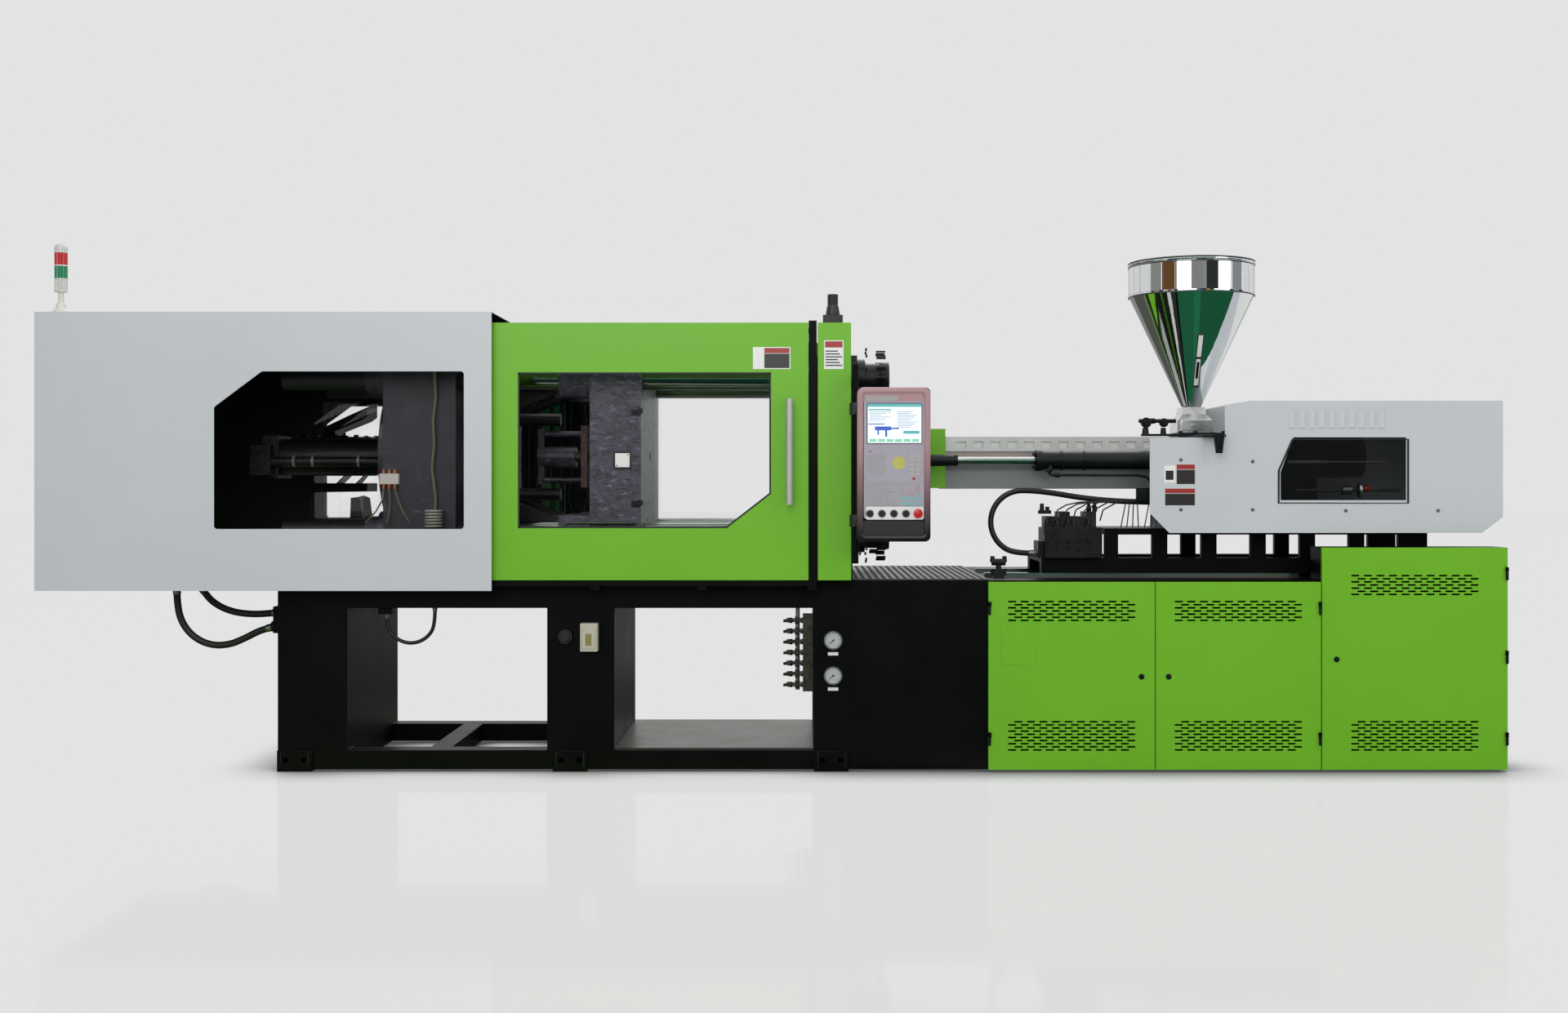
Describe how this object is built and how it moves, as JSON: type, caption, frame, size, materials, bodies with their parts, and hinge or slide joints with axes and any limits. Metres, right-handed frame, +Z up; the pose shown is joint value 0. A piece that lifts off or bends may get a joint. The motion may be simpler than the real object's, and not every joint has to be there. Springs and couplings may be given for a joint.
{
  "type": "injection moulding machine",
  "caption": "Horizontal toggle-clamp machine that melts plastic granules in a barrel and injects them into a mould held between two platens.",
  "frame": {"origin": "on the floor under the centre of the machine's bounding box", "axes": "+X from the clamp end to the injection end, -Y towards the operator, +Z up"},
  "size_m": [6.258, 1.5, 2.247],
  "materials": {
    "green_paint": "satin",
    "casting_paint": "satin",
    "guard_sheet": "satin",
    "grey_paint": "satin",
    "black_paint": "satin",
    "tread_plate": "rough",
    "bright_steel": "polished",
    "machined_steel": "satin",
    "link_casting": "satin",
    "polished_hopper": "polished",
    "clear_pane": "clear",
    "panel_plastic": "satin",
    "red_plastic": "gloss",
    "black_plastic": "matt",
    "lamp_plastic": "gloss",
    "brass_fittings": "satin",
    "gauge_case": "satin",
    "hose_rubber": "matt"
  },
  "bodies": {
    "frame": {"clamp_base": "black_paint", "injection_base": "black_paint", "levelling_feet": "black_paint", "deck_plates": "tread_plate", "electrical_cabinet": "black_paint", "toggle_cover": "grey_paint", "toggle_cover_panes": "clear_pane", "signal_tower": "lamp_plastic", "guard_frame": "black_paint", "side_guards": "green_paint", "fixed_platen": "casting_paint", "tie_bars": "bright_steel", "tie_bar_nuts": "machined_steel", "slide_rails": "bright_steel", "cooling_header": "brass_fittings", "pressure_gauges": "gauge_case", "electrical_sockets": "black_plastic", "pump_set": "casting_paint", "seat_rods": "bright_steel", "purge_guard": "green_paint", "base_hoses": "hose_rubber"},
    "tail": {"tail_platen": "casting_paint", "clamp_cylinder": "machined_steel", "crosshead_guide_rods": "bright_steel"},
    "crosshead": {"crosshead": "machined_steel"},
    "moving": {"moving_platen": "casting_paint"},
    "ejector": {"ejector_plate": "machined_steel"},
    "front_door": {"front_door": "green_paint", "front_door_pane": "clear_pane", "front_door_handle": "black_plastic"},
    "rear_door": {"rear_door": "green_paint", "rear_door_pane": "clear_pane"},
    "carriage": {"injection_carriage": "black_paint", "valve_manifold": "casting_paint", "injection_housing": "casting_paint", "barrel": "machined_steel", "barrel_guard": "guard_sheet", "seat_cylinders": "machined_steel", "injection_cover": "grey_paint", "injection_cover_pane": "clear_pane", "hopper_band": "polished_hopper", "hopper_cone": "polished_hopper", "hopper_throat": "black_paint", "injection_hose": "hose_rubber"},
    "shot": {"thrust_housing": "casting_paint"},
    "screw": {"screw": "machined_steel"},
    "hopper_gate": {"hopper_gate": "black_paint"},
    "hopper_lid": {"hopper_lid": "polished_hopper"},
    "control_panel": {"control_panel": "panel_plastic"},
    "emergency_stop": {"emergency_stop": "red_plastic"},
    "main_switch": {"main_switch": "red_plastic"},
    "cabinet_door_left": {"cabinet_door_left": "green_paint"},
    "cabinet_door_middle": {"cabinet_door_middle": "green_paint"},
    "cabinet_door_right": {"cabinet_door_right": "green_paint"},
    "rear_link_upper": {"rear_link_upper": "link_casting"},
    "rear_link_lower": {"rear_link_lower": "link_casting"},
    "front_link_upper": {"front_link_upper": "link_casting"},
    "front_link_lower": {"front_link_lower": "link_casting"},
    "crosshead_link_upper": {"crosshead_link_upper": "link_casting"},
    "crosshead_link_lower": {"crosshead_link_lower": "link_casting"}
  },
  "joints": [
    {"name": "tail_slide", "type": "slide", "parent": "frame", "child": "tail", "axis": [1, 0, 0], "range_m": [-0.36, 0]},
    {"name": "clamp_slide", "type": "slide", "parent": "tail", "child": "moving", "axis": [1, 0, 0], "range_m": [0, 0.5]},
    {"name": "crosshead_slide", "type": "slide", "parent": "tail", "child": "crosshead", "axis": [1, 0, 0], "range_m": [0, 0.3665]},
    {"name": "rear_link_upper_turn", "type": "hinge", "parent": "tail", "child": "rear_link_upper", "pos_m": [-1.33, 0, 1.725], "axis": [0, 1, 0], "range_deg": [-118.04, 0]},
    {"name": "front_link_upper_turn", "type": "hinge", "parent": "moving", "child": "front_link_upper", "pos_m": [-0.98, 0, 1.675], "axis": [0, 1, 0], "range_deg": [0, 23.92]},
    {"name": "crosshead_link_upper_turn", "type": "hinge", "parent": "crosshead", "child": "crosshead_link_upper", "pos_m": [-1.42556, 0, 1.465], "axis": [0, 1, 0], "range_deg": [0, 4.26]},
    {"name": "rear_link_lower_turn", "type": "hinge", "parent": "tail", "child": "rear_link_lower", "pos_m": [-1.33, 0, 0.985], "axis": [0, 1, 0], "range_deg": [0, 118.04]},
    {"name": "front_link_lower_turn", "type": "hinge", "parent": "moving", "child": "front_link_lower", "pos_m": [-0.98, 0, 1.035], "axis": [0, 1, 0], "range_deg": [-23.92, 0]},
    {"name": "crosshead_link_lower_turn", "type": "hinge", "parent": "crosshead", "child": "crosshead_link_lower", "pos_m": [-1.42556, 0, 1.245], "axis": [0, 1, 0], "range_deg": [-4.26, 0]},
    {"name": "ejector_slide", "type": "slide", "parent": "moving", "child": "ejector", "axis": [1, 0, 0], "range_m": [0, 0.15]},
    {"name": "front_door_slide", "type": "slide", "parent": "frame", "child": "front_door", "axis": [1, 0, 0], "range_m": [-1.13, 0]},
    {"name": "rear_door_slide", "type": "slide", "parent": "frame", "child": "rear_door", "axis": [1, 0, 0], "range_m": [-1.13, 0]},
    {"name": "seat_slide", "type": "slide", "parent": "frame", "child": "carriage", "axis": [1, 0, 0], "range_m": [-0.25, 0]},
    {"name": "injection_slide", "type": "slide", "parent": "carriage", "child": "shot", "axis": [1, 0, 0], "range_m": [0, 0.2]},
    {"name": "screw_spin", "type": "hinge", "parent": "shot", "child": "screw", "pos_m": [1.2, 0, 1.355], "axis": [1, 0, 0], "continuous": true},
    {"name": "hopper_gate_slide", "type": "slide", "parent": "carriage", "child": "hopper_gate", "axis": [0, -1, 0], "range_m": [0, 0.09]},
    {"name": "hopper_lid_hinge", "type": "hinge", "parent": "carriage", "child": "hopper_lid", "pos_m": [1.864, 0.289, 2.234], "axis": [1, 0, 0], "range_deg": [-100, 0]},
    {"name": "panel_swivel", "type": "hinge", "parent": "frame", "child": "control_panel", "pos_m": [0.316, -0.64, 1.3], "axis": [0, 0, 1], "range_deg": [-90, 10]},
    {"name": "emergency_stop_push", "type": "slide", "parent": "control_panel", "child": "emergency_stop", "axis": [0, 1, 0], "range_m": [0, 0.005]},
    {"name": "cabinet_door_left_hinge", "type": "hinge", "parent": "frame", "child": "cabinet_door_left", "pos_m": [0.896, -0.476, 0.41], "axis": [0, 0, 1], "range_deg": [-110, 0]},
    {"name": "cabinet_door_middle_hinge", "type": "hinge", "parent": "frame", "child": "cabinet_door_middle", "pos_m": [2.305, -0.476, 0.41], "axis": [0, 0, 1], "range_deg": [0, 110]},
    {"name": "cabinet_door_right_hinge", "type": "hinge", "parent": "frame", "child": "cabinet_door_right", "pos_m": [3.103, -0.476, 0.48], "axis": [0, 0, 1], "range_deg": [0, 110]},
    {"name": "main_switch_turn", "type": "hinge", "parent": "frame", "child": "main_switch", "pos_m": [3.12, -0.33, 0.306], "axis": [1, 0, 0], "range_deg": [-90, 0]}
  ],
  "couplings": [
    {"joint": "crosshead_slide", "follows": "clamp_slide", "ratio": 0.73261},
    {"joint": "rear_link_upper_turn", "follows": "clamp_slide", "rad_per_m": -4.1185},
    {"joint": "front_link_upper_turn", "follows": "clamp_slide", "rad_per_m": 0.83334},
    {"joint": "crosshead_link_upper_turn", "follows": "clamp_slide", "rad_per_m": 0.14681},
    {"joint": "rear_link_lower_turn", "follows": "clamp_slide", "rad_per_m": 4.1185},
    {"joint": "front_link_lower_turn", "follows": "clamp_slide", "rad_per_m": -0.83334},
    {"joint": "crosshead_link_lower_turn", "follows": "clamp_slide", "rad_per_m": -0.14681}
  ]
}
